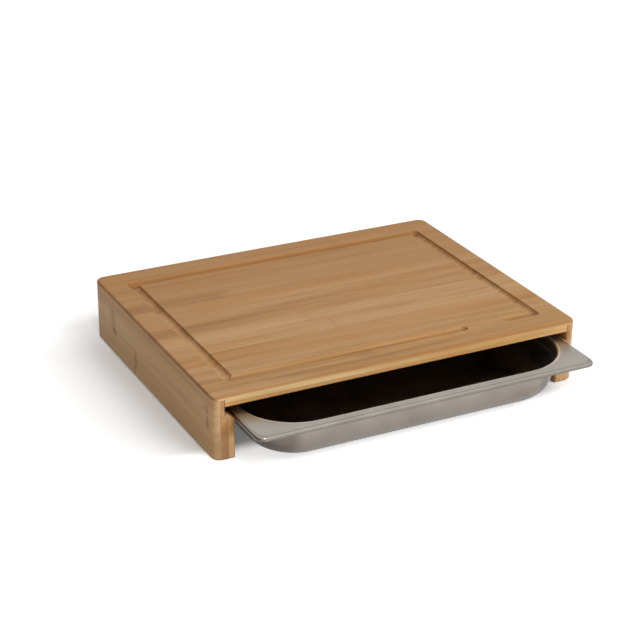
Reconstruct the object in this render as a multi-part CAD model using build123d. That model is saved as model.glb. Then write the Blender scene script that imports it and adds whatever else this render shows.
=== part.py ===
from build123d import *
import os
from math import cos, radians, tan

# Bamboo cutting board on two side runners, with a drawn steel tray that slides in
# two slots under it. Millimetres. X runs to the right, Y to the back, Z up from the
# surface it stands on. The origin is the bottom centre of the whole, tray pulled out.

# ---- board ----------------------------------------------------------------------
upper_ply = 6.0          # the ply that carries the cutting face
lower_ply = 4.0
lip_thickness = 3.1      # what is left of the upper ply over the sides
corner_radius = 8.5     # vertical corners of board and sides
top_arris = 2.0
under_arris = 1.0        # front edge of the board, underneath

# ---- juice groove ---------------------------------------------------------------
groove_width = 10.0
groove_depth = 3.6
groove_side_margin = 21.8    # outer edge of the groove from the board's sides
groove_front_margin = 24.6
groove_back_margin = 25.5
groove_break_start = 58.5    # the plain stretch of the front run, from the right side
groove_break_end = 96.5

# ---- sides ----------------------------------------------------------------------
outer_ply = 5.6
middle_ply = 8.0         # the inner ply is what is left up to the bay
slot_wall = 10.2         # wood left outside the slot
ledge_bearing = 4.0      # how far the rim lies over the ledge
foot_arris = 1.6
leg_arris = 0.8          # edges of the slot and the leg at the front

# ---- back panel and its loose tongues -------------------------------------------
back_thickness = 10.0
tongue_thickness = 4.0
tongue_width = 24.0      # across the joint, from one piece into the other
tongue_clearance = 0.05
tongue_end_gap = 0.5
tongue_in_side = 11.0
tongue_in_board = 6.0
side_tongue_inset = 6.0  # above the floor and below the ledge
top_tongue_inset = 60.0  # from the panel's ends

# ---- tray -----------------------------------------------------------------------
tray_width = 325.0       # over the rim
tray_length = 265.0
tray_depth = 40.0        # rim's top to the floor's underside
sheet = 0.8
rim_width = 12.0         # rim's outer edge to the wall's inner face
rim_drop = 3.4           # height of the turned-down edge
rim_corner = 9.0         # outer corner of the rim, seen from above
rim_bend = 2.0           # outside radius of the turned-down edge
mouth_bend = 3.0         # outside radius where the rim turns into the wall
mouth_corner = 48.0      # corner of the mouth, seen from above
shoulder_drop = 8.5      # stacking shoulder below the rim's top
shoulder_step = 1.8
shoulder_fall = 1.6
wall_slope = 8.0         # degrees off the vertical, below the shoulder
floor_bend = 22.0        # inside radius from wall to floor
seam_flat = 0.5          # flat strip left beyond each bend of the sheet

# ---- clearances -----------------------------------------------------------------
floor_gap = 4.6          # tray's floor above the surface
rim_seat_gap = 0.2       # turned-down edge over the ledge
slot_headroom = 4.4      # rim's top to the board
slot_side_gap = 4.8      # rim's edge to the slot wall
closed_gap = 3.0         # closed tray to the back panel
pulled_out = 54.5        # how far the tray stands out of the board at rest

# ---- places worked out from the sizes -------------------------------------------
tray_under_z = floor_gap
rim_top_z = tray_under_z + tray_depth
ledge_height = rim_top_z - rim_drop - rim_seat_gap
board_under_z = rim_top_z + slot_headroom
ply_seam_z = board_under_z + lower_ply
top_z = ply_seam_z + upper_ply
side_top_z = top_z - lip_thickness
slot_wall_x = tray_width / 2 + slot_side_gap
half_width = slot_wall_x + slot_wall
board_width = 2 * half_width
bay_half = tray_width / 2 - ledge_bearing
board_depth = tray_length + closed_gap + back_thickness
front_y = (pulled_out - board_depth) / 2
back_y = front_y + board_depth
board_mid_y = (front_y + back_y) / 2
panel_front_y = back_y - back_thickness
panel_mid_y = back_y - back_thickness / 2
tray_front_y = front_y - pulled_out
tray_mid_y = tray_front_y + tray_length / 2
mouth_width = tray_width - 2 * rim_width
mouth_length = tray_length - 2 * rim_width
beyond = 1.0             # how far a cutting block reaches past what it cuts
hair = 0.01              # two places closer than this are the same


def slab(x_ends, y_ends, z_ends):
    """Upright block between two corners; the ends of each axis in any order."""
    lows, highs = zip(*(sorted(ends) for ends in (x_ends, y_ends, z_ends)))
    size = [high - low for low, high in zip(lows, highs)]
    return Pos(*lows) * Box(*size, align=(Align.MIN, Align.MIN, Align.MIN))


def across(x_ends, z_ends):
    """Block of the given width and height that reaches past the board, front and back."""
    return slab(x_ends, (front_y - beyond, back_y + beyond), z_ends)


def board_block(z0, z1):
    """The board's rounded outline, raised between two heights."""
    outline = Pos(0, board_mid_y, z0) * RectangleRounded(board_width, board_depth, corner_radius)
    return extrude(outline, amount=z1 - z0)


def within(edges, axis, low, high):
    """Edges whose middle lies between two places along an axis."""
    return edges.filter_by_position(axis, min(low, high) - hair, max(low, high) + hair)


def level_edges(shape, z):
    """Edges that lie at one height."""
    return within(shape.edges(), Axis.Z, z, z)


# ---- board ----------------------------------------------------------------------
def groove_route():
    """Corner points of the groove's centre line, from one side of its plain stretch
    round the whole board to the other side of it."""
    half_groove = groove_width / 2
    side_x = half_width - groove_side_margin - half_groove
    near_y = front_y + groove_front_margin + half_groove
    far_y = back_y - groove_back_margin - half_groove
    return [
        (half_width - groove_break_end - half_groove, near_y),
        (-side_x, near_y),
        (-side_x, far_y),
        (side_x, far_y),
        (side_x, near_y),
        (half_width - groove_break_start + half_groove, near_y),
    ]


def groove_cutter():
    """Path of a round-nosed cutter: a rod along each run and a ball at each point."""
    radius = (groove_width ** 2 / 4 + groove_depth ** 2) / (2 * groove_depth)
    axis_z = top_z - groove_depth + radius
    points = [Vector(x, y, axis_z) for x, y in groove_route()]
    cutter = [Pos(point) * Sphere(radius) for point in points]
    for start, end in zip(points, points[1:]):
        run = end - start
        cutter.append(extrude(Plane(origin=start, z_dir=run) * Circle(radius), amount=run.length))
    return cutter


def board_plies():
    """Upper and lower ply, cut from one rounded block and so in line all round."""
    blank = board_block(board_under_z, top_z)
    blank = fillet(level_edges(blank, top_z), top_arris)
    for side in (-1, 1):
        outside = side * (half_width + beyond)
        blank -= across((side * slot_wall_x, outside), (board_under_z - beyond, side_top_z))
    front_edge = level_edges(blank, board_under_z).sort_by(Axis.Y)[0]
    blank = chamfer(front_edge, under_arris)
    blank -= groove_cutter() + [top_tongue_pocket()]
    whole_width = (-half_width - beyond, half_width + beyond)
    upper = blank & across(whole_width, (ply_seam_z, top_z + beyond))
    lower = blank & across(whole_width, (board_under_z - beyond, ply_seam_z))
    return upper, lower


# ---- sides ----------------------------------------------------------------------
def side_plies(side):
    """Three plies of one side, outer to inner; side is -1 for left and 1 for right."""
    blank = board_block(0, side_top_z)
    blank = chamfer(level_edges(blank, 0), foot_arris)
    outside = side * (half_width + beyond)
    blank &= across((side * bay_half, outside), (-beyond, side_top_z + beyond))
    inside = side * (bay_half - beyond)
    blank -= across((inside, side * slot_wall_x), (ledge_height, side_top_z + beyond))
    blank = chamfer(slot_front_edges(blank, side), leg_arris)
    blank -= side_tongue_pocket(side)
    seams = [
        outside,
        side * (half_width - outer_ply),
        side * (half_width - outer_ply - middle_ply),
        inside,
    ]
    whole_height = (-beyond, side_top_z + beyond)
    return [blank & across(ends, whole_height) for ends in zip(seams, seams[1:])]


def slot_front_edges(blank, side):
    """Straight edges of the leg's inner corner, the ledge and the slot, in the front face."""
    edges = within(blank.edges().filter_by(GeomType.LINE), Axis.Y, front_y, front_y)
    edges = within(edges, Axis.X, side * bay_half, side * slot_wall_x)
    return within(edges, Axis.Z, 2 * foot_arris, side_top_z - 2 * leg_arris)


# ---- back panel and its loose tongues -------------------------------------------
def tongue_across(half_thickness):
    """Front and back face of a tongue or its pocket, in the middle of the panel."""
    return panel_mid_y - half_thickness, panel_mid_y + half_thickness


def side_tongue(side, slack=0.0, end_slack=0.0):
    """Upright loose tongue between the panel's end and one side; with slack, its pocket."""
    deep_x = bay_half + tongue_in_side + end_slack
    near_x = bay_half + tongue_in_side - tongue_width - end_slack
    low_z = side_tongue_inset - end_slack
    high_z = ledge_height - side_tongue_inset + end_slack
    across_y = tongue_across(tongue_thickness / 2 + slack)
    return slab((side * near_x, side * deep_x), across_y, (low_z, high_z))


def top_tongue(slack=0.0, end_slack=0.0):
    """Long loose tongue between the panel's top and the board; with slack, its pocket."""
    half_length = bay_half - top_tongue_inset + end_slack
    high_z = board_under_z + tongue_in_board + end_slack
    low_z = board_under_z + tongue_in_board - tongue_width - end_slack
    across_y = tongue_across(tongue_thickness / 2 + slack)
    return slab((-half_length, half_length), across_y, (low_z, high_z))


def side_tongue_pocket(side):
    return side_tongue(side, tongue_clearance, tongue_end_gap)


def top_tongue_pocket():
    return top_tongue(tongue_clearance, tongue_end_gap)


def back_panel():
    """Panel between the sides, up to the board; its ears lie on the ledges and shut the slots."""
    panel = slab((-bay_half, bay_half), (panel_front_y, back_y), (0, board_under_z))
    panel += slab((-slot_wall_x, slot_wall_x), (panel_front_y, back_y), (ledge_height, board_under_z))
    rear_foot = level_edges(panel, 0).sort_by(Axis.Y)[-1]
    panel = chamfer(rear_foot, foot_arris)
    return panel - [side_tongue_pocket(-1), side_tongue_pocket(1), top_tongue_pocket()]


# ---- tray -----------------------------------------------------------------------
def level_outline(width, length, corner, z):
    """Rounded rectangle round the tray's centre."""
    return Pos(0, tray_mid_y, z) * RectangleRounded(width, length, corner)


def sheet_strip(points, side):
    """Strip one sheet thick along a line of sharp corners, on one side of it.

    Each point is (outwards, up), measured from a rounded rectangle at the rim's top.
    """
    outline = offset(Polyline(*points), amount=sheet, kind=Kind.INTERSECTION, side=side)
    return make_face(outline)


def corner_at(strip, outwards, up):
    """The strip's corner nearest to a place."""
    return strip.vertices().sort_by_distance(Vector(outwards, up))[0]


def square_bend(strip, place, hollow_place, radius):
    """Bend through a right angle: round outside, with a flat inside that keeps the thickness."""
    half_turn = radians(45)
    flat = 2 * (radius * (1 - cos(half_turn)) + sheet * cos(half_turn) - sheet)
    strip = chamfer(corner_at(strip, *hollow_place), flat)
    return fillet(corner_at(strip, *place), radius)


def carried_round(strip, width, length, corner):
    """The strip carried round a rounded rectangle."""
    path = level_outline(width, length, corner, rim_top_z).wire()
    outwards = Vector(-1, 0, 0)
    section = Plane(origin=path @ 0, x_dir=outwards, z_dir=outwards.cross(Vector(0, 0, 1)))
    return sweep(section * strip, path=path, transition=Transition.TRANSFORMED)


def drawn_tray():
    """Pressed pan: turned-down rim edge, flat rim, shouldered wall and rounded floor."""
    rim_strip = rim_bend + seam_flat
    edge = sheet_strip([(-rim_strip, 0), (0, 0), (0, -rim_drop)], Side.RIGHT)
    edge = square_bend(edge, (0, 0), (-sheet, -sheet), rim_bend)
    edge = carried_round(edge, tray_width, tray_length, rim_corner)

    mouth_strip = mouth_bend + seam_flat
    floor_drop = tray_depth - sheet
    shoulder_foot = shoulder_drop + shoulder_fall
    wall_foot = -shoulder_step - (floor_drop - shoulder_foot) * tan(radians(wall_slope))
    floor_edge = wall_foot - floor_bend - seam_flat
    wall_points = [
        (mouth_strip, 0),
        (0, 0),
        (0, -shoulder_drop),
        (-shoulder_step, -shoulder_foot),
        (wall_foot, -floor_drop),
        (floor_edge, -floor_drop),
    ]
    wall = sheet_strip(wall_points, Side.LEFT)
    wall = square_bend(wall, (0, 0), (sheet, -sheet), mouth_bend)
    wall = fillet(corner_at(wall, wall_foot + sheet, -tray_depth), floor_bend + sheet)
    wall = fillet(corner_at(wall, wall_foot, -floor_drop), floor_bend)
    wall = carried_round(wall, mouth_width, mouth_length, mouth_corner)

    def plate(width, length, corner, inset, z):
        outline = level_outline(width - 2 * inset, length - 2 * inset, corner - inset, z)
        return extrude(outline, amount=sheet)

    rim = plate(tray_width, tray_length, rim_corner, rim_strip, rim_top_z - sheet)
    rim -= plate(mouth_width, mouth_length, mouth_corner, -mouth_strip, rim_top_z - sheet)
    floor = plate(mouth_width, mouth_length, mouth_corner, -floor_edge, tray_under_z)
    return edge + rim + wall + floor


# ---- all sub-parts --------------------------------------------------------------
def all_parts():
    parts = {}
    parts["top_upper_ply"], parts["top_lower_ply"] = board_plies()
    for side, name in ((-1, "left"), (1, "right")):
        for ply, solid in zip(("outer", "middle", "inner"), side_plies(side)):
            parts[f"{name}_{ply}_ply"] = solid
    parts["back_panel"] = back_panel()
    parts["side_tongues"] = Compound(children=[side_tongue(-1), side_tongue(1)])
    parts["top_tongue"] = top_tongue()
    parts["tray"] = drawn_tray()
    return parts


os.makedirs("parts", exist_ok=True)
for node, solid in all_parts().items():
    export_step(solid, f"parts/{node}.step")
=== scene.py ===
import math
import bpy
import numpy as np
from mathutils import Matrix, Vector


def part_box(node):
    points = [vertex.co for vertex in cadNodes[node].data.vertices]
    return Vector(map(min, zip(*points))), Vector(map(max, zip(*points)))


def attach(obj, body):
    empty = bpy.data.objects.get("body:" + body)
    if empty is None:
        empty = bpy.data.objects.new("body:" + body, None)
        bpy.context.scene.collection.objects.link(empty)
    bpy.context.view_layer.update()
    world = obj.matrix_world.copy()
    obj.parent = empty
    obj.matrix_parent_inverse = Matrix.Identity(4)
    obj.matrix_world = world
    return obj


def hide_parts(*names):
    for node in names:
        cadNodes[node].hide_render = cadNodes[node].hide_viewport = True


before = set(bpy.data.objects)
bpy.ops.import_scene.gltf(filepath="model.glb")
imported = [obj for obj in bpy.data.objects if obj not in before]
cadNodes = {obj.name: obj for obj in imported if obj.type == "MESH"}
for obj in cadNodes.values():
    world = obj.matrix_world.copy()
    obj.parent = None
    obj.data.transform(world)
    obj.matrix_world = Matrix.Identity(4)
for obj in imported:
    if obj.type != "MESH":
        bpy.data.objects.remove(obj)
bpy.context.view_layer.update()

# all sizes are in metres
scene = bpy.context.scene
print("frame loaded,", len(cadNodes), "nodes")


def fromScreen(red, green, blue):
    # sRGB bytes to linear light: the 2.4 power branch, and the straight one near black
    shade = np.array([red, green, blue], float) / 255
    linear = np.where(shade <= 0.04045, shade / 12.92, ((shade + 0.055) / 1.055) ** 2.4)
    return (*linear.tolist(), 1.0)


def newMaterial(name):
    made = bpy.data.materials.new(name)
    made.use_nodes = True
    tree = made.node_tree
    tree.nodes.clear()
    shader = tree.nodes.new("ShaderNodeBsdfPrincipled")
    output = tree.nodes.new("ShaderNodeOutputMaterial")
    tree.links.new(shader.outputs["BSDF"], output.inputs["Surface"])
    return made, tree, shader


def addNode(tree, kind, inputs=(), **settings):
    node = tree.nodes.new("ShaderNode" + kind)
    for key, value in settings.items():
        setattr(node, key, value)
    for key, value in dict(inputs).items():
        if isinstance(value, bpy.types.NodeSocket):
            tree.links.new(value, node.inputs[key])
        else:
            node.inputs[key].default_value = value
    return node


def maths(tree, operation, first, second=0.0, third=0.0):
    return addNode(tree, "Math", {0: first, 1: second, 2: third}, operation=operation).outputs[0]


def chain(tree, operation, *values):
    # the values joined in turn by one operation
    result = values[0]
    for value in values[1:]:
        result = maths(tree, operation, result, value)
    return result


def product(tree, *factors):
    return chain(tree, "MULTIPLY", *factors)


def total(tree, *values):
    return chain(tree, "ADD", *values)


def largest(tree, *values):
    return chain(tree, "MAXIMUM", *values)


def oneMinus(tree, value):
    return maths(tree, "SUBTRACT", 1.0, value)


def awayFrom(tree, value, place):
    return maths(tree, "ABSOLUTE", maths(tree, "SUBTRACT", value, place))


def swing(tree, value, size):
    # a value from 0 to 1 as a swing of that size about 0
    return maths(tree, "MULTIPLY_ADD", value, size, -size / 2)


def mixed(tree, first, second, share):
    # two values added, the second by its share and the first by the rest
    return total(tree, product(tree, first, 1 - share), product(tree, second, share))


def separate(tree, vector):
    return addNode(tree, "SeparateXYZ", {"Vector": vector}).outputs


def noise(tree, place, scale, detail):
    return addNode(tree, "TexNoise", {"Vector": place, "Scale": scale, "Detail": detail}).outputs["Fac"]


def spread(tree, value, low, high, newLow=0.0, newHigh=1.0):
    # smooth step of value from low to high, stretched to run from newLow to newHigh
    node = addNode(
        tree, "MapRange",
        {"Value": value, "From Min": low, "From Max": high, "To Min": newLow, "To Max": newHigh},
        interpolation_type="SMOOTHSTEP",
    )
    return node.outputs["Result"]


def blendColour(tree, share, first, second, mode="MIX"):
    node = addNode(tree, "Mix", data_type="RGBA", blend_type=mode)
    for index, value in ((0, share), (6, first), (7, second)):
        if isinstance(value, bpy.types.NodeSocket):
            tree.links.new(value, node.inputs[index])
        else:
            node.inputs[index].default_value = value
    return node.outputs[2]


def tinted(tree, share, colour, tint):
    # the colour times the tint, by share
    return blendColour(tree, share, colour, blendColour(tree, 1.0, colour, tint, "MULTIPLY"))


def ramp(tree, value, stops):
    node = addNode(tree, "ValToRGB", {"Fac": value})
    bar = node.color_ramp.elements
    while len(bar) < len(stops):
        bar.new(0.5)
    for element, (place, colour) in zip(bar, stops):
        element.position = place
        element.color = colour
    return node.outputs["Color"]


def addBump(tree, shader, relief, height, strength):
    bump = addNode(tree, "Bump", {"Height": relief, "Distance": height, "Strength": strength})
    tree.links.new(bump.outputs["Normal"], shader.inputs["Normal"])


def gridObject(name, points, mapping):
    # quads between neighbouring rows of points, joined round the columns, and one cap at each end;
    # points is rows x columns x 3, mapping rows x columns x 2
    rows, columns = points.shape[:2]
    index = np.arange(rows * columns).reshape(rows, columns)
    around = np.concatenate([index, index[:, :1]], axis=1)
    mapping = np.concatenate([mapping, mapping[:, :1] + [1.0, 0.0]], axis=1)
    quads = np.stack([around[:-1, :-1], around[:-1, 1:], around[1:, 1:], around[1:, :-1]], axis=-1)
    corners = np.stack([mapping[:-1, :-1], mapping[:-1, 1:], mapping[1:, 1:], mapping[1:, :-1]], axis=-2)
    caps = [index[0, ::-1].tolist(), index[-1].tolist()]
    capMap = np.concatenate([mapping[0, -2::-1], mapping[-1, :-1]])
    mesh = bpy.data.meshes.new(name)
    mesh.from_pydata(points.reshape(-1, 3).tolist(), [], quads.reshape(-1, 4).tolist() + caps)
    layer = mesh.uv_layers.new(name="sheetMap")
    layer.data.foreach_set("uv", np.concatenate([corners.reshape(-1), capMap.reshape(-1)]).astype(np.float32))
    mesh.shade_smooth()
    piece = bpy.data.objects.new(name, mesh)
    scene.collection.objects.link(piece)
    return piece


# the steel tray's own sizes; its place and its width and length are those of the CAD node
tray = {
    "depth": 0.0400,
    "sheet": 0.0008,
    "rimWidth": 0.0120,
    "rimDrop": 0.0034,
    "rimCorner": 0.0090,
    "rimBend": 0.0028,
    "mouthBend": 0.0030,
    "mouthCorner": 0.0480,
    "shoulderDrop": 0.0085,
    "shoulderStep": 0.0018,
    "shoulderFall": 0.0016,
    "shoulderBend": 0.0016,
    "wallSlope": math.radians(8.0),
    "floorBend": 0.0220,
    "floorStart": 1.06,        # where the flat floor begins, in floor bends from the wall's foot
    "cornerSteps": 28,
    "sideSteps": 24,
    "bendSteps": 10,
    "lipSteps": 7,
    "lipBulge": 0.5,           # the sheet's rounded edge, against a half circle
    "floorRings": (0.02, 0.35, 0.7, 0.93, 0.99),
}


def bentLine(points, bends, steps):
    # straight runs joined by tangent arcs: each corner's arc leaves bend x tan(half turn) before it
    points = [np.array(p, float) for p in points]
    line = [points[0]]
    for before, corner, after, bend in zip(points, points[1:], points[2:], bends):
        into = (corner - before) / np.linalg.norm(corner - before)
        out = (after - corner) / np.linalg.norm(after - corner)
        turn = math.acos(float(np.clip(into @ out, -1, 1)))
        hand = math.copysign(1.0, into[0] * out[1] - into[1] * out[0])
        reach = bend * math.tan(turn / 2)
        centre = corner - into * reach + hand * bend * np.array([-into[1], into[0]])
        spoke = corner - into * reach - centre
        angles = hand * turn * np.linspace(0, 1, steps)
        turned = np.stack([
            spoke[0] * np.cos(angles) - spoke[1] * np.sin(angles),
            spoke[0] * np.sin(angles) + spoke[1] * np.cos(angles),
        ], axis=1)
        line.extend(centre + turned)
    line.append(points[-1])
    return np.array(line)


def offsetLine(line, distance):
    # each point moved sideways by distance along the mean normal of its two runs
    steps = np.diff(line, axis=0)
    steps /= np.linalg.norm(steps, axis=1, keepdims=True)
    sides = np.stack([steps[:, 1], -steps[:, 0]], axis=1)
    before = np.vstack([sides[:1], sides])
    after = np.vstack([sides, sides[-1:]])
    mean = before + after
    mean /= np.linalg.norm(mean, axis=1, keepdims=True)
    stretch = 1 / np.clip((mean * after).sum(axis=1), 0.5, 1)
    return line + mean * distance * stretch[:, None]


def roundedRectangle(halfX, halfY, corner, cornerSteps, sideSteps):
    # quarter circles of the corner radius joined by straight sides; the first three sizes are arrays, and
    # each of their values gives a ring
    angles = np.linspace(0, math.pi / 2, cornerSteps)
    along = np.linspace(0, 1, sideSteps + 2)[1:-1, None]
    arcs = []
    for quarter, (signX, signY) in enumerate(((1, 1), (-1, 1), (-1, -1), (1, -1))):
        turned = quarter * math.pi / 2 + angles
        arcX = (signX * (halfX - corner))[:, None] + corner[:, None] * np.cos(turned)
        arcY = (signY * (halfY - corner))[:, None] + corner[:, None] * np.sin(turned)
        arcs.append(np.stack([arcX, arcY], axis=-1))
    runs = []
    for arc, following in zip(arcs, arcs[1:] + arcs[:1]):
        start, end = arc[:, -1:], following[:, :1]
        runs += [arc, start + (end - start) * along]
    return np.concatenate(runs, axis=1)


def walked(line):
    # metres walked along the line up to each of its points
    return np.concatenate([[0.0], np.cumsum(np.linalg.norm(np.diff(line, axis=0), axis=1))])


def trayLine():
    # the line that shows, from the floor up the wall, over the rim and down its edge: (outwards, up)
    fall = tray["depth"] - tray["sheet"]
    step, rim = tray["shoulderStep"], tray["rimWidth"]
    shoulderFoot = tray["shoulderDrop"] + tray["shoulderFall"]
    wallFoot = -step - (fall - shoulderFoot) * math.tan(tray["wallSlope"])
    flat = wallFoot - tray["floorBend"] * tray["floorStart"]
    points = [
        (flat, -fall),
        (wallFoot, -fall),
        (-step, -shoulderFoot),
        (0, -tray["shoulderDrop"]),
        (0, 0),
        (rim, 0),
        (rim, -tray["rimDrop"]),
    ]
    bends = [tray[name] for name in ("floorBend", "shoulderBend", "shoulderBend", "mouthBend", "rimBend")]
    return bentLine(points, bends, tray["bendSteps"])


def traySection():
    # the line that shows, the sheet's rounded edge and the line under it
    shown = trayLine()
    under = offsetLine(shown, tray["sheet"])
    edge = (shown[-1] + under[-1]) / 2
    turn = np.linspace(0, -math.pi, tray["lipSteps"])
    lip = edge + tray["sheet"] / 2 * np.stack([np.cos(turn), np.sin(turn) * tray["lipBulge"]], axis=1)
    return np.vstack([shown[:-1], lip, under[-2::-1]])


def trayCorner(outwards):
    # the corner radius follows the wall, and on the flat rim it runs over to the rim's own corner
    mouthEdge, rimEdge = tray["mouthBend"], tray["rimWidth"] - tray["rimBend"]
    share = np.clip((outwards - mouthEdge) / (rimEdge - mouthEdge), 0, 1)
    wallCorner = tray["mouthCorner"] + outwards
    rimCorner = tray["rimCorner"] + (outwards - tray["rimWidth"])
    return wallCorner * (1 - share) + rimCorner * share


def makeTray():
    # the section carried round a rounded rectangle: each of its points has its own ring, set out from the
    # mouth by the point's own distance
    low, high = (np.array(corner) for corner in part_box("tray"))
    centre = (low + high) / 2
    mouthX, mouthY = (high - low)[:2] / 2 - tray["rimWidth"]
    outwards, up = traySection().T
    corner = trayCorner(outwards)
    ring = roundedRectangle(
        mouthX + outwards, mouthY + outwards, corner, tray["cornerSteps"], tray["sideSteps"],
    )
    points = np.empty((*ring.shape[:2], 3))
    points[..., :2] = centre[:2] + ring
    points[..., 2] = (high[2] + up)[:, None]
    # both faces of the flat floor, with x and y drawn in to the middle
    middle = np.array([*centre[:2], 0.0])
    shares = np.array(tray["floorRings"])
    drawn = np.stack([shares, shares, np.ones_like(shares)], axis=-1)[:, None]
    inside = middle + (points[:1] - middle) * drawn
    beneath = middle + (points[-1:] - middle) * drawn[::-1]
    points = np.concatenate([inside, points, beneath])
    # the map: the share of the way round, which closes one step past the last point, and metres along
    # the section
    around = walked(ring[len(ring) // 2])
    around /= 2 * around[-1] - around[-2]
    length = walked(points[:, 0])
    mapping = np.stack(np.broadcast_arrays(around[None, :], length[:, None]), axis=-1)
    # how far along the section its mouth bend and rim bend start, and its edge is
    firstBend = len(tray["floorRings"]) + 1
    bendsBefore = {"mouth": 3, "rim": 4, "edge": 5}
    places = {
        name: float(length[firstBend + bends * tray["bendSteps"]])
        for name, bends in bendsBefore.items()
    }
    return gridObject("steelTray", points, mapping), places


steelTray, trayPlaces = makeTray()
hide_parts("tray")
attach(steelTray, "tray")
print("tray made,", len(steelTray.data.polygons), "faces")


steel = {
    "colour": fromScreen(172, 166, 158),
    "shade": fromScreen(156, 149, 141),
    "streaks": (14.0, 1800.0, 3.0),        # streaks round the tray, per metre across the sheet, and detail
    "blotches": (38.0, 4.0),               # a metre, and detail
    "grit": (2600.0, 2.0),
    "streakTone": 0.35,                    # the streaks' share of the tone; the rest is blotches
    "toneRange": (0.32, 0.68),
    # painted reflection on the outer walls: darker, and darker still towards the foot
    "wallTop": (0.85, 0.83, 0.82, 1.0),
    "wallFoot": (0.54, 0.52, 0.51, 1.0),
    "wallHeights": (0.006, 0.038),
    "wallFacing": (0.20, 0.60),            # of the upward part of the normal
    "bendTint": (0.62, 0.60, 0.58, 1.0),   # painted shade on the walls' rounded corners, between these two facings
    "bendStart": (0.20, 0.45),
    "bendEnd": (0.86, 0.97),
    "sideFacing": (0.40, 0.75),
    "sideWarmth": (1.0, 0.98, 0.96),
    # each line of painted highlight and shade starts a step past one place along the section and ends a step
    # past another, with a shade for the front and back and one for the two sides
    "lines": (
        ("mouth", 0.0030, "mouth", 0.0062, 1.75, 0.62),    # a painted highlight at the mouth, painted shade on the sides
        ("rim", -0.0040, "rim", 0.0012, 0.72, 0.80),       # painted shade before the rim's bend
        ("rim", 0.0006, "edge", 0.0004, 0.95, 0.24),       # the bend and the turned-down face, painted dark on the sides
        ("edge", -0.0018, "edge", 0.0030, 0.66, 2.10),     # the lower edge: painted shade at the front, a painted highlight on the sides
    ),
    "roughness": (0.26, 0.36),
    "roughRange": (0.3, 0.7),
    "roughStreaks": 0.4,                   # the streaks' share; the rest is blotches
    # along the rim's bend: how far past its start, full and none within, and the share of roughness left
    "polish": (0.002, 0.001, 0.003, 0.75),
    "gritRelief": 0.5,                     # the grit's share; the rest is streaks
    "bump": (0.00002, 0.6),                # height and strength
}


def shadeSteel(tree, colour, section, height, facing, places):
    # painted reflection: the outer walls darken towards the foot, lines of painted highlight and shade run
    # along the mouth and the rim, each full over its middle two thirds, and the walls' rounded corners get
    # painted shade
    outer = spread(tree, section, places["rim"], places["edge"])
    upright = product(tree, spread(tree, facing["Z"], *steel["wallFacing"], 1.0, 0.0), outer)
    risen = spread(tree, height, *steel["wallHeights"])
    colour = tinted(tree, upright, colour, blendColour(tree, risen, steel["wallFoot"], steel["wallTop"]))
    sideways = maths(tree, "ABSOLUTE", facing["X"])
    onSides = spread(tree, sideways, *steel["sideFacing"])
    for startPlace, startStep, endPlace, endStep, shade, sideShade in steel["lines"]:
        start, end = places[startPlace] + startStep, places[endPlace] + endStep
        away = awayFrom(tree, section, (start + end) / 2)
        line = spread(tree, away, (end - start) / 3, (end - start) / 2, 1.0, 0.0)
        sideShades = (*(sideShade * warmth for warmth in steel["sideWarmth"]), 1.0)
        shades = blendColour(tree, onSides, (shade, shade, shade, 1.0), sideShades)
        colour = tinted(tree, line, colour, shades)
    begun = spread(tree, sideways, *steel["bendStart"])
    notOver = spread(tree, sideways, *steel["bendEnd"], 1.0, 0.0)
    return tinted(tree, product(tree, begun, notOver, outer), colour, steel["bendTint"])


def makeSteel(places):
    made, tree, shader = newMaterial("satinSteel")
    uv = addNode(tree, "UVMap", uv_map="sheetMap").outputs["UV"]
    coordinates = addNode(tree, "TexCoord").outputs
    place, facing = coordinates["Object"], separate(tree, coordinates["Normal"])
    section, height = separate(tree, uv)["Y"], separate(tree, place)["Z"]
    roundScale, acrossScale, streakDetail = steel["streaks"]
    stretch = addNode(tree, "Mapping", {"Vector": uv, "Scale": (roundScale, acrossScale, 1.0)}).outputs[0]
    streaks = noise(tree, stretch, 1.0, streakDetail)
    blotches = noise(tree, place, *steel["blotches"])
    grit = noise(tree, place, *steel["grit"])

    tone = spread(tree, mixed(tree, blotches, streaks, steel["streakTone"]), *steel["toneRange"])
    colour = blendColour(tree, tone, steel["shade"], steel["colour"])
    colour = shadeSteel(tree, colour, section, height, facing, places)
    tree.links.new(colour, shader.inputs["Base Color"])

    rough = mixed(tree, blotches, streaks, steel["roughStreaks"])
    rough = spread(tree, rough, *steel["roughRange"], *steel["roughness"])
    step, full, none, smooth = steel["polish"]
    polish = spread(tree, awayFrom(tree, section, places["rim"] + step), full, none, smooth, 1.0)
    tree.links.new(product(tree, rough, polish), shader.inputs["Roughness"])
    addBump(tree, shader, mixed(tree, streaks, grit, steel["gritRelief"]), *steel["bump"])
    shader.inputs["Metallic"].default_value = 1.0
    return made


steelTray.data.materials.append(makeSteel(trayPlaces))
print("steel made")


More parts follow.
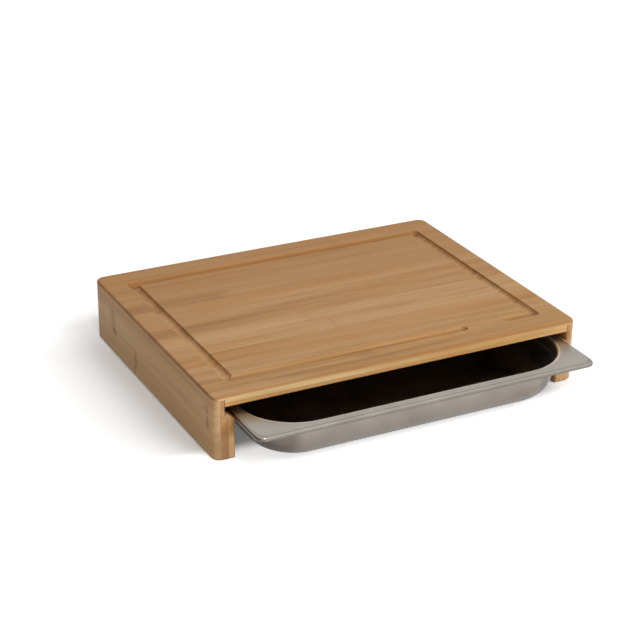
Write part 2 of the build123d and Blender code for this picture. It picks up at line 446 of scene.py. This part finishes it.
bamboo = {
    "stripWidth": 0.0204,
    "nodeSpacing": 0.29,       # between the knuckles of one strip
    "dark": fromScreen(132, 92, 54),
    "low": fromScreen(165, 124, 78),
    "middle": fromScreen(174, 135, 91),
    "high": fromScreen(188, 151, 106),
    "knuckle": fromScreen(124, 84, 52),
    # the glue lines' colour, also used for the painted shade along the legs' foot
    "glue": fromScreen(112, 76, 46),
    "streak": fromScreen(144, 105, 68),
    "orange": fromScreen(182, 128, 74),
    "arris": fromScreen(148, 102, 60),
    "brown": fromScreen(150, 98, 40),
    "pale": fromScreen(214, 180, 134),
    # noise per metre along the fibres, across the strips and through them, its detail and its own place
    "fibres": {
        "broad": (6.0, 110.0, 110.0, 3.0, 0.0),
        "medium": (14.0, 420.0, 420.0, 3.0, 7.0),
        "fine": (55.0, 2600.0, 2600.0, 2.0, 13.0),
        "dashes": (150.0, 3400.0, 3400.0, 1.0, 29.0),
        "warm": (3.0, 60.0, 20.0, 1.0, 97.0),
        "wave": (3.0, 240.0, 20.0, 2.0, 51.0),
    },
    "luckStep": 41.0,          # how far the noise moves on from strip to strip, by their luck
    "toneLuck": 0.14,
    "toneFibres": (("broad", 0.58), ("medium", 0.28), ("fine", 0.14)),
    "toneStops": ((0.22, "dark"), (0.41, "low"), (0.50, "middle"), (0.66, "high")),
    "warmRange": (0.50, 0.72),
    "vesselRange": (0.60, 0.78),
    "markRagged": 1.2,
    "markReach": (0.3, 1.4),   # full and none, as the squared distance in half sizes
    "bandStart": 0.0004,       # half the width over which a band starts, across
    "bandRange": (0.30, 0.70),
    "bandLeast": 0.6,
    "lineCore": 0.4,           # the share of a line's half width that is full
    "seamReach": (0.00005, 0.00040),
    "roughness": (0.42, 0.60),
    "roughRange": (0.3, 0.7),
    "relief": (("fine", 0.55), ("dashes", 0.35)),
    "seamRelief": 0.25,
    "bump": (0.00010, 0.5),    # height and strength
    "specular": 0.14,
}

knuckles = {
    "waviness": 0.030,                 # in node spacings
    "bar": (0.0005, 0.0028, 0.30),     # full and none within, and depth
    "tail": (-0.001, 0.022, 0.16),
    "tailStart": (-0.004, 0.0),
    "ragged": (0.30, 0.60, 0.4),
    "luck": (0.35, 0.95),
    "deepest": 0.8,
}

# where strip edges, cut ends and the darker band along the arris round the top begin: by facing, by metres
# from the piece's outside and by metres below its top
faces = {
    "edgeFacing": (0.80, 0.95),
    "edgeReach": (0.001, 0.003),
    "edgeBelow": (0.0004, 0.0024),
    "endFacing": (0.45, 0.80),
    "endReach": (0.012, 0.016),
    "arrisSide": (0.0006, 0.0034),
    "arrisEnd": (0.0004, 0.0016),
}

# painted light and shade in the groove: how far in from the board's outside and below its top they begin,
# where its front and back runs end, and for each the facing it goes by
groove = {
    "reach": (0.010, 0.014),
    "below": (0.0001, 0.0006),
    "frontRun": (-0.079, -0.075),
    "backRun": (0.128, 0.133),
    "paintedLit": (1.06, 1.11, 1.20, 1.0),      # painted light on the bottom of the side runs
    "paintedLitFacing": (-0.50, -0.12),
    # painted shade high on the walls that face left, and low on the far walls of the front and back runs
    "wall": (-0.93, -0.52, 1.0, 0.0),       # then its shares at the two facings
    "wallAlong": (-0.09, 0.0, 0.4, 1.0),    # weaker towards the front
    "front": (-0.78, -0.58, 0.0, 0.5),
    "back": (-0.97, -0.72, 0.20, 0.85),
    "depth": 0.78,
    # the painted shade's tints in the side runs and in the front and back runs
    "sideRunShade": (0.50, 0.38, 0.25, 1.0),
    "endRunShade": (0.42, 0.39, 0.40, 1.0),
}

# a piece's own look also has grain, the axis of its fibres, lie, the axis across its strips (0, 1, 2 for
# x, y, z), and a seed
plainLook = {
    "shift": 0.0,              # of the strips
    "warmth": 0.45,            # share of orange where the wood is warmest
    "vessels": 0.22,           # depth of the dark dashes
    "knuckles": 1.0,
    "stripLine": 0.14,         # depth of the glue lines between strips
    "arris": 0.0,              # depth of the darker band along the arris round the top
    "groove": False,
    "face": (1.0, 1.0, 1.0),   # tints of the strip faces, the strip edges and the cut ends, partly their own tone and partly painted light and shade
    "edge": (1.0, 1.0, 1.0),
    "end": (1.0, 1.0, 1.0),
    "marks": (),               # (along, across, half length, half width, depth, colour)
    "bands": (),               # (from, to, fade) along, (from, to, fade) across, depth and colour
    "lines": (),               # (axis, place, half width, depth, colour)
}


def fibreNoise(tree, wood, kind):
    alongScale, sideScale, deepScale, detail, offset = bamboo["fibres"][kind]
    strip = product(tree, wood["luck"], bamboo["luckStep"])
    scaled = addNode(tree, "CombineXYZ", {
        0: product(tree, wood["along"], alongScale),
        1: total(tree, product(tree, wood["side"], sideScale), strip),
        2: total(tree, product(tree, wood["deep"], deepScale), offset + wood["seed"]),
    }).outputs[0]
    return noise(tree, scaled, 1.0, detail)


def readWood(tree, look):
    # the place on the piece along the fibres, across the strips and through them, its facing, the strip's
    # luck, the seams between strips and the noises, for all that is drawn on it
    coordinates = addNode(tree, "TexCoord").outputs
    axes, facing = separate(tree, coordinates["Object"]), separate(tree, coordinates["Normal"])
    grain, lie = look["grain"], look["lie"]
    third = ({0, 1, 2} - {grain, lie}).pop()
    counted = maths(tree, "DIVIDE", total(tree, axes[lie], look["shift"]), bamboo["stripWidth"])
    number = maths(tree, "FLOOR", counted)
    inStrip = maths(tree, "SUBTRACT", counted, number)
    toSeam = product(tree, maths(tree, "MINIMUM", inStrip, oneMinus(tree, inStrip)), bamboo["stripWidth"])
    luck = addNode(tree, "TexWhiteNoise", {"W": total(tree, number, look["seed"])}, noise_dimensions="1D")
    wood = {
        "axes": axes,
        "facing": facing,
        "box": look["box"],
        "along": axes[grain],
        "side": axes[lie],
        "deep": axes[third],
        "fromTop": maths(tree, "SUBTRACT", look["box"][1][2], axes[2]),
        "seam": spread(tree, toSeam, *bamboo["seamReach"], 1.0, 0.0),
        "seed": look["seed"],
        "luck": luck.outputs["Value"],
        "moreLuck": addNode(tree, "SeparateColor", {"Color": luck.outputs["Color"]}).outputs,
    }
    for kind in bamboo["fibres"]:
        wood[kind] = fibreNoise(tree, wood, kind)
    return wood


def fibreColour(tree, wood, look):
    # one tone from the strip's luck and the streaks of three widths, warmed in places, with dark vessels
    streaks = (product(tree, wood[kind], weight) for kind, weight in bamboo["toneFibres"])
    tone = total(tree, swing(tree, wood["luck"], bamboo["toneLuck"]), *streaks)
    colour = ramp(tree, tone, [(place, bamboo[shade]) for place, shade in bamboo["toneStops"]])
    warmth = spread(tree, wood["warm"], *bamboo["warmRange"], 0.0, look["warmth"])
    colour = blendColour(tree, warmth, colour, bamboo["orange"])
    vessels = product(tree, spread(tree, wood["dashes"], *bamboo["vesselRange"]), look["vessels"])
    return blendColour(tree, vessels, colour, bamboo["dark"])


def addKnuckles(tree, wood, look, colour):
    # a wavy dark bar across each strip, with a feathered tail along the grain
    spacing = bamboo["nodeSpacing"]
    wave = swing(tree, wood["wave"], knuckles["waviness"])
    turned = total(tree, maths(tree, "DIVIDE", wood["along"], spacing), wood["moreLuck"][1], wave)
    away = product(tree, maths(tree, "SUBTRACT", maths(tree, "FRACT", turned), 0.5), spacing)
    full, none, barDepth = knuckles["bar"]
    bar = spread(tree, maths(tree, "ABSOLUTE", away), full, none, 1.0, 0.0)
    full, none, tailDepth = knuckles["tail"]
    tail = product(tree, spread(tree, away, full, none, 1.0, 0.0), spread(tree, away, *knuckles["tailStart"]))
    both = total(tree, product(tree, bar, barDepth), product(tree, tail, tailDepth))
    ragged = spread(tree, wood["medium"], *knuckles["ragged"], 1.0)
    strength = product(tree, spread(tree, wood["moreLuck"][2], *knuckles["luck"]), look["knuckles"])
    share = maths(tree, "MINIMUM", product(tree, both, ragged, strength), knuckles["deepest"])
    return blendColour(tree, share, colour, bamboo["knuckle"])


def addMarks(tree, wood, look, colour):
    # marks given one by one, each a blurred ellipse: its share falls with the squared distance in half sizes,
    # and the fibres make its outline ragged
    ragged = swing(tree, wood["medium"], bamboo["markRagged"])
    for along, across, halfLength, halfWidth, depth, shade in look["marks"]:
        goAlong = maths(tree, "DIVIDE", maths(tree, "SUBTRACT", wood["along"], along), halfLength)
        goSide = maths(tree, "DIVIDE", maths(tree, "SUBTRACT", wood["side"], across), halfWidth)
        squared = total(tree, product(tree, goAlong, goAlong), product(tree, goSide, goSide))
        share = spread(tree, total(tree, squared, ragged), *bamboo["markReach"], depth, 0.0)
        colour = blendColour(tree, share, colour, bamboo[shade])
    return colour


def addBands(tree, wood, look, colour):
    # stretches of strip in another tone, uneven with the broad streaks
    begin = bamboo["bandStart"]
    for start, end, fadeAlong, lowSide, highSide, fadeSide, depth, shade in look["bands"]:
        share = product(
            tree,
            spread(tree, wood["along"], start - fadeAlong, start),
            spread(tree, wood["along"], end, end + fadeAlong, 1.0, 0.0),
            spread(tree, wood["side"], lowSide - begin, lowSide + begin),
            spread(tree, wood["side"], highSide - fadeSide, highSide, 1.0, 0.0),
            spread(tree, wood["broad"], *bamboo["bandRange"], depth, depth * bamboo["bandLeast"]),
        )
        colour = blendColour(tree, share, colour, bamboo[shade])
    return colour


def outside(tree, wood, axis, near, far):
    # 1 within near of the piece's box across the axis, 0 from far on
    low, high = wood["box"]
    place = wood["axes"][axis]
    fromLow, fromHigh = maths(tree, "SUBTRACT", place, low[axis]), maths(tree, "SUBTRACT", high[axis], place)
    return spread(tree, maths(tree, "MINIMUM", fromLow, fromHigh), near, far, 1.0, 0.0)


def paintGrooveShade(tree, wood, look, colour):
    # painted light along the bottom of the side runs, painted shade high on their walls that face left, and
    # painted shade low on the far walls of the front and back runs
    grain, lie = look["grain"], look["lie"]
    faceAlong, faceSide = wood["facing"][grain], wood["facing"][lie]
    margin = largest(
        tree, outside(tree, wood, lie, *groove["reach"]), outside(tree, wood, grain, *groove["reach"]),
    )
    inGroove = product(tree, oneMinus(tree, margin), spread(tree, wood["fromTop"], *groove["below"]))
    atFront = spread(tree, wood["side"], *groove["frontRun"], 1.0, 0.0)
    atBack = spread(tree, wood["side"], *groove["backRun"])
    sideRuns = oneMinus(tree, largest(tree, atFront, atBack))
    pale = product(tree, sideRuns, spread(tree, faceAlong, *groove["paintedLitFacing"]))
    colour = tinted(tree, product(tree, inGroove, pale), colour, groove["paintedLit"])
    wall = product(
        tree, spread(tree, faceAlong, *groove["wall"]), spread(tree, wood["side"], *groove["wallAlong"]),
    )
    front = product(tree, atFront, spread(tree, faceSide, *groove["front"]))
    back = product(tree, atBack, spread(tree, faceSide, *groove["back"]))
    dark = product(tree, largest(tree, wall, front, back), groove["depth"])
    grooveShadeTint = blendColour(tree, sideRuns, groove["endRunShade"], groove["sideRunShade"])
    return tinted(tree, product(tree, inGroove, dark), colour, grooveShadeTint)


def tintFaces(tree, wood, look, colour):
    # the tint goes by where the outside of the piece faces: strip faces, strip edges or cut ends, partly the
    # wood's own tone and partly painted light and shade
    grain, lie = look["grain"], look["lie"]
    atEdge = spread(tree, maths(tree, "ABSOLUTE", wood["facing"][lie]), *faces["edgeFacing"])
    onEdge = product(tree, atEdge, outside(tree, wood, lie, *faces["edgeReach"]))
    if look["arris"]:
        onEdge = product(tree, onEdge, spread(tree, wood["fromTop"], *faces["edgeBelow"]))
    if grain == 1:
        endwards = product(tree, wood["facing"][grain], -1.0)    # the sides' front ends only
    else:
        endwards = maths(tree, "ABSOLUTE", wood["facing"][grain])
    atEnd = spread(tree, endwards, *faces["endFacing"])
    onEnd = product(tree, atEnd, outside(tree, wood, grain, *faces["endReach"]))
    # a darker band along the rounded arris round the top, on the top face only
    if look["arris"]:
        nearSide = outside(tree, wood, lie, *faces["arrisSide"])
        nearEnd = outside(tree, wood, grain, *faces["arrisEnd"])
        flat = oneMinus(tree, largest(tree, onEdge, onEnd))
        arrisBand = product(tree, largest(tree, nearSide, nearEnd), flat, look["arris"])
        colour = blendColour(tree, arrisBand, colour, bamboo["arris"])
    if look["groove"]:
        colour = paintGrooveShade(tree, wood, look, colour)
    face, edge, end = ((*look[part], 1.0) for part in ("face", "edge", "end"))
    tint = blendColour(tree, onEnd, blendColour(tree, onEdge, face, edge), end)
    return blendColour(tree, 1.0, colour, tint, "MULTIPLY")


def addLines(tree, wood, look, colour):
    # glue lines between strips, then lines at fixed places
    colour = blendColour(tree, product(tree, wood["seam"], look["stripLine"]), colour, bamboo["glue"])
    for axis, place, halfWidth, depth, shade in look["lines"]:
        away = awayFrom(tree, wood["axes"][axis], place)
        line = spread(tree, away, halfWidth * bamboo["lineCore"], halfWidth, 1.0, 0.0)
        colour = blendColour(tree, product(tree, line, depth), colour, bamboo[shade])
    return colour


def makeBamboo(name, ownLook):
    made, tree, shader = newMaterial(name)
    look = {**plainLook, **ownLook}
    wood = readWood(tree, look)
    colour = fibreColour(tree, wood, look)
    for stage in (addKnuckles, addMarks, addBands, tintFaces, addLines):
        colour = stage(tree, wood, look, colour)
    tree.links.new(colour, shader.inputs["Base Color"])

    rough = spread(tree, wood["medium"], *bamboo["roughRange"], *bamboo["roughness"])
    tree.links.new(rough, shader.inputs["Roughness"])
    relief = total(tree, *(product(tree, wood[kind], weight) for kind, weight in bamboo["relief"]))
    relief = maths(tree, "SUBTRACT", relief, product(tree, wood["seam"], bamboo["seamRelief"]))
    addBump(tree, shader, relief, *bamboo["bump"])
    shader.inputs["Specular IOR Level"].default_value = bamboo["specular"]
    return made


# where the glue seams between the plies lie
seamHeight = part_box("top_lower_ply")[1].z
outerSeam = abs(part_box("left_outer_ply")[1].x)
innerSeam = abs(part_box("left_inner_ply")[0].x)

boardLooks = {
    "top_upper_ply": {
        "grain": 0, "lie": 1, "seed": 3.0, "shift": 0.0111, "knuckles": 0.45,
        # the front and back edges lit up and the ends darkened, partly their own tone and partly painted
        # light and shade
        "face": (1.0, 0.985, 0.965), "edge": (1.42, 1.70, 1.92), "end": (0.55, 0.48, 0.46),
        "arris": 0.62,
        "groove": True,
        "lines": [
            (2, seamHeight, 0.0012, 0.14, "glue"),
            (1, 0.190, 0.200, 0.33, "brown"),      # painted shade, darker towards the back of the top
        ],
        "bands": [
            (-0.190, -0.094, 0.026, 0.0705, 0.0895, 0.0060, 0.78, "streak"),
            (-0.190, -0.162, 0.014, 0.0705, 0.0860, 0.0080, 0.45, "knuckle"),
        ],
        "marks": [
            (-0.1050, 0.1325, 0.0500, 0.0025, 0.22, "knuckle"),
            (-0.0210, -0.0880, 0.0022, 0.0018, 0.60, "knuckle"),
            (-0.0260, -0.0915, 0.0120, 0.0060, 0.22, "knuckle"),
            (0.0200, 0.0150, 0.0450, 0.0030, 0.16, "knuckle"),
            (0.1280, -0.0150, 0.0350, 0.0030, 0.22, "knuckle"),
            (-0.1400, -0.1040, 0.0600, 0.0065, 0.18, "pale"),
            (0.0950, -0.1118, 0.1100, 0.0022, 0.20, "orange"),
            (-0.1690, 0.1450, 0.0300, 0.0160, 0.35, "orange"),
            (-0.1680, -0.0010, 0.0200, 0.0060, 0.20, "orange"),
            (-0.1700, -0.0270, 0.0200, 0.0100, 0.60, "middle"),
            (-0.1700, 0.0530, 0.0200, 0.0100, 0.50, "middle"),
        ],
    },
    "top_lower_ply": {
        "grain": 0, "lie": 1, "seed": 17.0,
        "edge": (1.25, 1.22, 1.10), "end": (0.80, 0.74, 0.68),
        "lines": [(2, seamHeight, 0.0012, 0.14, "glue")], "stripLine": 0.0, "vessels": 0.06, "knuckles": 0.2,
    },
    "back_panel": {"grain": 0, "lie": 2, "seed": 31.0, "face": (0.97, 0.95, 0.92)},
    "left_outer_ply": {
        "grain": 1, "lie": 2, "seed": 42.0, "shift": -0.0006,
        # the front end lit up, partly its own paler end grain and partly painted light
        "face": (0.96, 0.97, 1.02), "end": (1.10, 1.22, 1.48),
        "stripLine": 0.05, "knuckles": 0.3, "warmth": 0.2,
        "marks": [
            (0.1165, 0.0245, 0.0065, 0.0045, 0.60, "knuckle"),
            (0.1200, 0.0370, 0.0080, 0.0090, 0.32, "knuckle"),
            (0.0640, 0.0170, 0.0042, 0.0080, 0.50, "knuckle"),
            (0.0670, 0.0060, 0.0034, 0.0060, 0.34, "knuckle"),
            (-0.0975, 0.0430, 0.0035, 0.0050, 0.42, "knuckle"),
            (-0.0985, 0.0310, 0.0035, 0.0060, 0.60, "knuckle"),
        ],
    },
    "left_middle_ply": {
        "grain": 1, "lie": 2, "seed": 56.0, "shift": -0.0006, "end": (0.95, 0.87, 0.88),
        # painted light on the lower part of the front end
        "marks": [(-0.1120, 0.0080, 0.0120, 0.0140, 0.34, "pale")],
    },
    "left_inner_ply": {
        "grain": 1, "lie": 2, "seed": 70.0, "shift": -0.0006, "end": (1.32, 1.24, 1.14),
        # painted light on the lower part of the front end
        "marks": [(-0.1120, 0.0090, 0.0120, 0.0140, 0.50, "pale")],
    },
}
# the right side's plies are those of the left, with other fibres and marks
rightLooks = {
    "outer_ply": {"seed": 44.0, "marks": [(-0.020, 0.030, 0.003, 0.004, 0.4, "knuckle")]},
    "middle_ply": {"seed": 58.0},
    "inner_ply": {"seed": 72.0, "end": (1.12, 1.10, 1.12), "marks": []},
}
for ply, changes in rightLooks.items():
    boardLooks["right_" + ply] = {**boardLooks["left_" + ply], **changes}
tongueLook = {"grain": 2, "lie": 0, "seed": 83.0, "face": (1.15, 1.15, 1.12), "knuckles": 0.0}


def dress(node, finish):
    slots = cadNodes[node].data.materials
    slots.clear()
    slots.append(finish)


def finishWood():
    for node, look in boardLooks.items():
        look = {**look, "box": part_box(node)}
        side = node.partition("_")[0]
        if side in ("left", "right"):
            sign = -1 if side == "left" else 1
            look["lines"] = [
                (0, sign * outerSeam, 0.0006, 0.28, "pale"),
                (0, sign * innerSeam, 0.0006, 0.28, "pale"),
                (2, 0.0, 0.0014, 0.7, "glue"),     # painted shade along the foot's lower edge
            ]
        dress(node, makeBamboo(node + "Bamboo", look))
    tongues = makeBamboo("tongueWood", {**tongueLook, "box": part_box("top_tongue")})
    dress("side_tongues", tongues)
    dress("top_tongue", tongues)


finishWood()
print("bamboo made")


studio = {
    "floorSize": 12.0,
    "floorColour": (0.90, 0.90, 0.90, 1.0),
    "floorGlow": (0.13, 0.40),             # near the object and far from it, for the camera and reflections
    "glowReach": (0.17, 0.40),
    "farGlow": (0.60, 1.40, 0.16),         # from, to and how much more
    # painted light on the floor that lifts the object's shadow in front of the board and behind its left
    # corner
    "frontGlow": (-0.100, -0.122, 0.50),
    "frontTurn": 0.1,                      # how far the front glow's line turns from the board's front
    "frontMirrored": 0.25,                 # the front glow's share in reflections
    "cornerGlow": (-0.185, 0.205, 0.090, 0.22),    # place, reach and how much more, behind on the left
    "skyStrength": 0.24,
}

lamps = {
    "key": {       # from the front, a little to the right
        "place": (1.05, -1.95, 2.15), "size": 2.2, "power": 79.5, "inMetal": False,
    },
    "fill": {      # low, for the shaded side and the front
        "place": (-1.80, -2.00, 0.80), "size": 1.6, "power": 13.0, "inMetal": False,
    },
    "glint": {     # small, from the front, for the rim's corner
        "place": (-0.45, -1.50, 2.30), "size": 0.45, "power": 12.0, "inMetal": True,
    },
    "rim": {       # soft and weak, for the bend along the tray's front
        "place": (1.03, -1.20, 1.90), "size": 1.2, "power": 1.2, "inMetal": True,
    },
}


def seenRays(tree):
    # what the camera sees straight, and what it sees straight, mirrored or through something
    rays = addNode(tree, "LightPath").outputs
    straight = rays["Is Camera Ray"]
    return straight, largest(tree, straight, rays["Is Glossy Ray"], rays["Is Transmission Ray"])


def floorWhite(tree, straight, seen):
    # how white the floor glows: by distance, more further out, and with painted light that lifts the shadow
    # in front of the board along a line a little turned from it, and behind its left corner
    place = addNode(tree, "TexCoord").outputs["Object"]
    away = addNode(tree, "VectorMath", {0: place}, operation="LENGTH").outputs["Value"]
    near = spread(tree, away, *studio["glowReach"], *studio["floorGlow"])
    start, end, more = studio["farGlow"]
    far = spread(tree, away, start, end, 0.0, more)
    axes = separate(tree, place)
    ahead = total(tree, axes["Y"], product(tree, axes["X"], studio["frontTurn"]))
    share = largest(tree, straight, product(tree, seen, studio["frontMirrored"]))
    start, end, more = studio["frontGlow"]
    front = product(tree, spread(tree, ahead, end, start, more, 0.0), share)
    cornerX, cornerY, reach, more = studio["cornerGlow"]
    ends = {0: place, 1: (cornerX, cornerY, 0.0)}
    fromCorner = addNode(tree, "VectorMath", ends, operation="DISTANCE").outputs["Value"]
    return total(tree, near, far, front, spread(tree, fromCorner, 0.0, reach, more, 0.0))


def makeFloor():
    half = studio["floorSize"] / 2
    corners = [(-half, -half, 0), (half, -half, 0), (half, half, 0), (-half, half, 0)]
    mesh = bpy.data.meshes.new("floor")
    mesh.from_pydata(corners, [], [(0, 1, 2, 3)])
    floor = bpy.data.objects.new("floor", mesh)
    scene.collection.objects.link(floor)
    made = bpy.data.materials.new("floorPaper")
    made.use_nodes = True
    tree = made.node_tree
    tree.nodes.clear()
    output = tree.nodes.new("ShaderNodeOutputMaterial")
    matt = addNode(tree, "BsdfDiffuse", {"Color": studio["floorColour"]})
    straight, seen = seenRays(tree)
    glow = addNode(tree, "Emission", {"Strength": product(tree, seen, floorWhite(tree, straight, seen))})
    both = addNode(tree, "AddShader", {0: matt.outputs[0], 1: glow.outputs[0]})
    tree.links.new(both.outputs[0], output.inputs["Surface"])
    mesh.materials.append(made)


def makeLamp(name, inputs):
    # the big lamps give light but no bright patch of their own in the metal
    data = bpy.data.lights.new(name, "AREA")
    data.shape = "DISK"
    data.size = inputs["size"]
    data.energy = inputs["power"]
    lamp = bpy.data.objects.new(name, data)
    scene.collection.objects.link(lamp)
    lamp.location = inputs["place"]
    lamp.rotation_euler = (-Vector(inputs["place"])).to_track_quat("-Z", "Y").to_euler()
    lamp.visible_glossy = inputs["inMetal"]


def makeSky():
    world = bpy.data.worlds.new("studioSky")
    scene.world = world
    world.use_nodes = True
    tree = world.node_tree
    tree.nodes.clear()
    output = tree.nodes.new("ShaderNodeOutputWorld")
    even = addNode(tree, "Background", {"Color": (1, 1, 1, 1), "Strength": studio["skyStrength"]})
    white = addNode(tree, "Background", {"Color": (1, 1, 1, 1), "Strength": 1.0})
    mix = addNode(tree, "MixShader", {0: seenRays(tree)[1], 1: even.outputs[0], 2: white.outputs[0]})
    tree.links.new(mix.outputs[0], output.inputs["Surface"])


camera = {
    "place": (-0.6787, -1.2807, 0.7129),
    "turn": 26.80,         # degrees to the right of straight back
    "dip": 24.38,          # degrees below level
    "roll": 0.41,
    "lens": 101.31,        # millimetres, as the sensor
    "sensor": 36.0,
    "clip": (0.05, 60.0),
}


def makeCamera():
    turn, dip, roll = (math.radians(camera[key]) for key in ("turn", "dip", "roll"))
    ahead = Vector((math.sin(turn) * math.cos(dip), math.cos(turn) * math.cos(dip), -math.sin(dip)))
    level = Vector((math.cos(turn), -math.sin(turn), 0))
    rise = level.cross(ahead)
    right = level * math.cos(roll) + rise * math.sin(roll)
    up = rise * math.cos(roll) - level * math.sin(roll)
    data = bpy.data.cameras.new("photoCamera")
    data.sensor_width = camera["sensor"]
    data.lens = camera["lens"]
    data.clip_start, data.clip_end = camera["clip"]
    eye = bpy.data.objects.new("photoCamera", data)
    scene.collection.objects.link(eye)
    turned = Matrix((right, up, -ahead)).transposed().to_4x4()
    eye.matrix_world = Matrix.Translation(camera["place"]) @ turned
    scene.camera = eye


makeFloor()
for lampName, lampInputs in lamps.items():
    makeLamp(lampName, lampInputs)
makeSky()
makeCamera()
scene.view_settings.view_transform = "Standard"
print("floor, light and camera made")
